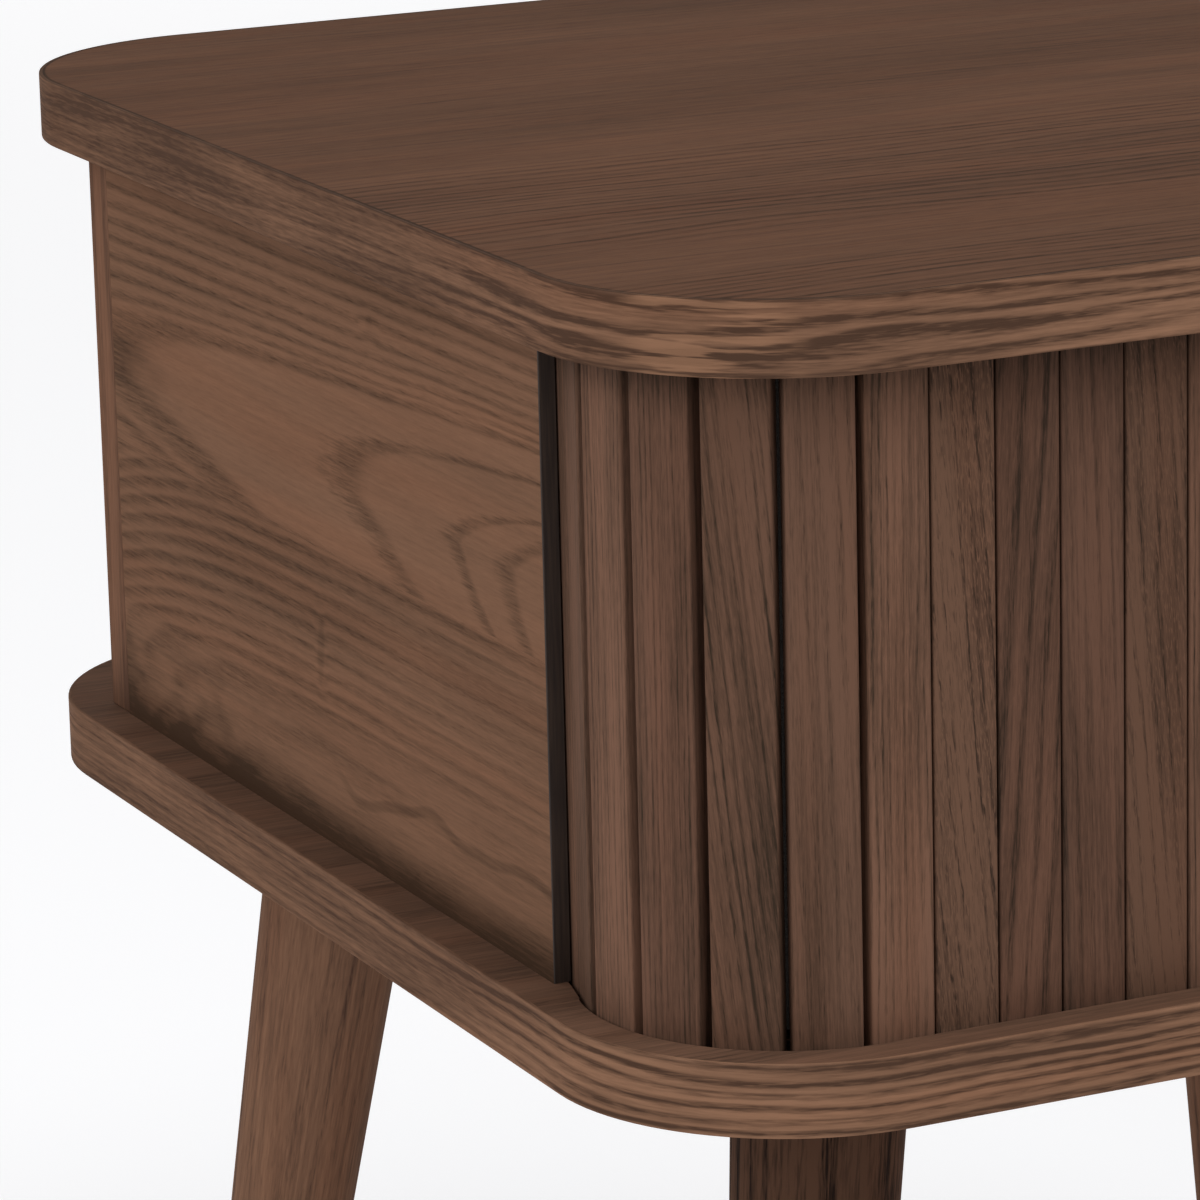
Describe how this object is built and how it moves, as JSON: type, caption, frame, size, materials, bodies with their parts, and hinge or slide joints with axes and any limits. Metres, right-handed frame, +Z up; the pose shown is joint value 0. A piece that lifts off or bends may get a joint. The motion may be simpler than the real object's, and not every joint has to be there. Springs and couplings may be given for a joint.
{
  "type": "bedside table",
  "caption": "Round-cornered bedside table on splayed tapered legs, with a pair of tambour doors that slide round the front corners.",
  "frame": {"origin": "middle of the footprint, on the floor", "axes": "+X to the right seen from the front, +Y to the rear, +Z up"},
  "size_m": [0.44, 0.44, 0.52],
  "materials": {
    "walnut_veneer": "satin lacquered walnut veneer",
    "walnut_band": "satin lacquered walnut edge band, streaky along its length",
    "walnut_slat": "satin lacquered walnut slats, grain upright",
    "walnut_solid": "satin lacquered solid walnut",
    "inner_ply": "matt walnut-faced ply",
    "beech": "plain beech dowel",
    "zinc_steel": "zinc-plated steel",
    "glide_plastic": "dark nylon glide",
    "canvas": "dark cotton canvas"
  },
  "bodies": {
    "case": {"top_board": "walnut_veneer", "top_edge_band": "walnut_band", "bottom_board": "walnut_veneer", "bottom_edge_band": "walnut_band", "left_side_panel": "walnut_veneer", "right_side_panel": "walnut_veneer", "left_inner_wall": "inner_ply", "right_inner_wall": "inner_ply", "left_rear_post": "walnut_solid", "right_rear_post": "walnut_solid", "back_panel": "inner_ply", "front_left_leg": "walnut_solid", "front_right_leg": "walnut_solid", "rear_left_leg": "walnut_solid", "rear_right_leg": "walnut_solid", "leg_plates": "zinc_steel", "hanger_bolts": "zinc_steel", "plate_screws": "zinc_steel", "foot_glides": "glide_plastic", "dowels": "beech", "cam_bolts": "zinc_steel", "cam_housings": "zinc_steel"},
    "left_door_front": {"left_lead_stile": "walnut_slat", "left_front_slat_1": "walnut_slat", "left_front_slat_2": "walnut_slat", "left_front_slat_3": "walnut_slat", "left_front_slat_4": "walnut_slat", "left_front_slat_5": "walnut_slat", "left_front_slat_6": "walnut_slat", "left_front_slat_7": "walnut_slat", "left_front_canvas": "canvas"},
    "left_door_entry": {"left_entry_slat": "walnut_slat", "left_entry_canvas": "canvas"},
    "left_door_corner": {"left_corner_slat_1": "walnut_slat", "left_corner_slat_2": "walnut_slat", "left_corner_slat_3": "walnut_slat", "left_corner_slat_4": "walnut_slat", "left_corner_canvas": "canvas"},
    "left_door_tail": {"left_edge_slat": "walnut_slat", "left_hidden_slats": "walnut_slat", "left_tail_canvas": "canvas"},
    "right_door_front": {"right_lead_stile": "walnut_slat", "right_front_slat_1": "walnut_slat", "right_front_slat_2": "walnut_slat", "right_front_slat_3": "walnut_slat", "right_front_slat_4": "walnut_slat", "right_front_slat_5": "walnut_slat", "right_front_slat_6": "walnut_slat", "right_front_slat_7": "walnut_slat", "right_front_canvas": "canvas"},
    "right_door_entry": {"right_entry_slat": "walnut_slat", "right_entry_canvas": "canvas"},
    "right_door_corner": {"right_corner_slat_1": "walnut_slat", "right_corner_slat_2": "walnut_slat", "right_corner_slat_3": "walnut_slat", "right_corner_slat_4": "walnut_slat", "right_corner_canvas": "canvas"},
    "right_door_tail": {"right_edge_slat": "walnut_slat", "right_hidden_slats": "walnut_slat", "right_tail_canvas": "canvas"}
  },
  "joints": [
    {"name": "left_door_slide", "type": "slide", "parent": "case", "child": "left_door_front", "axis": [-1, 0, 0], "range_m": [0, 0.017]},
    {"name": "left_entry_turn", "type": "hinge", "parent": "case", "child": "left_door_entry", "pos_m": [-0.1561, -0.14534, 0.42], "axis": [0, 0, -1], "range_deg": [0, 17.07]},
    {"name": "left_corner_turn", "type": "hinge", "parent": "case", "child": "left_door_corner", "pos_m": [-0.158, -0.158, 0.42], "axis": [0, 0, -1], "range_deg": [0, 21.99]},
    {"name": "left_tail_turn", "type": "hinge", "parent": "case", "child": "left_door_tail", "pos_m": [-0.45131, -0.0793, 0.42], "axis": [0, 0, 1], "range_deg": [0, 3.76]},
    {"name": "right_door_slide", "type": "slide", "parent": "case", "child": "right_door_front", "axis": [1, 0, 0], "range_m": [0, 0.017]},
    {"name": "right_entry_turn", "type": "hinge", "parent": "case", "child": "right_door_entry", "pos_m": [0.1561, -0.14534, 0.42], "axis": [0, 0, 1], "range_deg": [0, 17.07]},
    {"name": "right_corner_turn", "type": "hinge", "parent": "case", "child": "right_door_corner", "pos_m": [0.158, -0.158, 0.42], "axis": [0, 0, 1], "range_deg": [0, 21.99]},
    {"name": "right_tail_turn", "type": "hinge", "parent": "case", "child": "right_door_tail", "pos_m": [0.45131, -0.0793, 0.42], "axis": [0, 0, -1], "range_deg": [0, 3.76]}
  ],
  "couplings": [
    {"joint": "left_entry_turn", "follows": "left_door_slide", "rad_per_m": 17.528},
    {"joint": "left_corner_turn", "follows": "left_door_slide", "rad_per_m": 22.573},
    {"joint": "left_tail_turn", "follows": "left_door_slide", "rad_per_m": 3.8553},
    {"joint": "right_entry_turn", "follows": "right_door_slide", "rad_per_m": 17.528},
    {"joint": "right_corner_turn", "follows": "right_door_slide", "rad_per_m": 22.573},
    {"joint": "right_tail_turn", "follows": "right_door_slide", "rad_per_m": 3.8553}
  ]
}
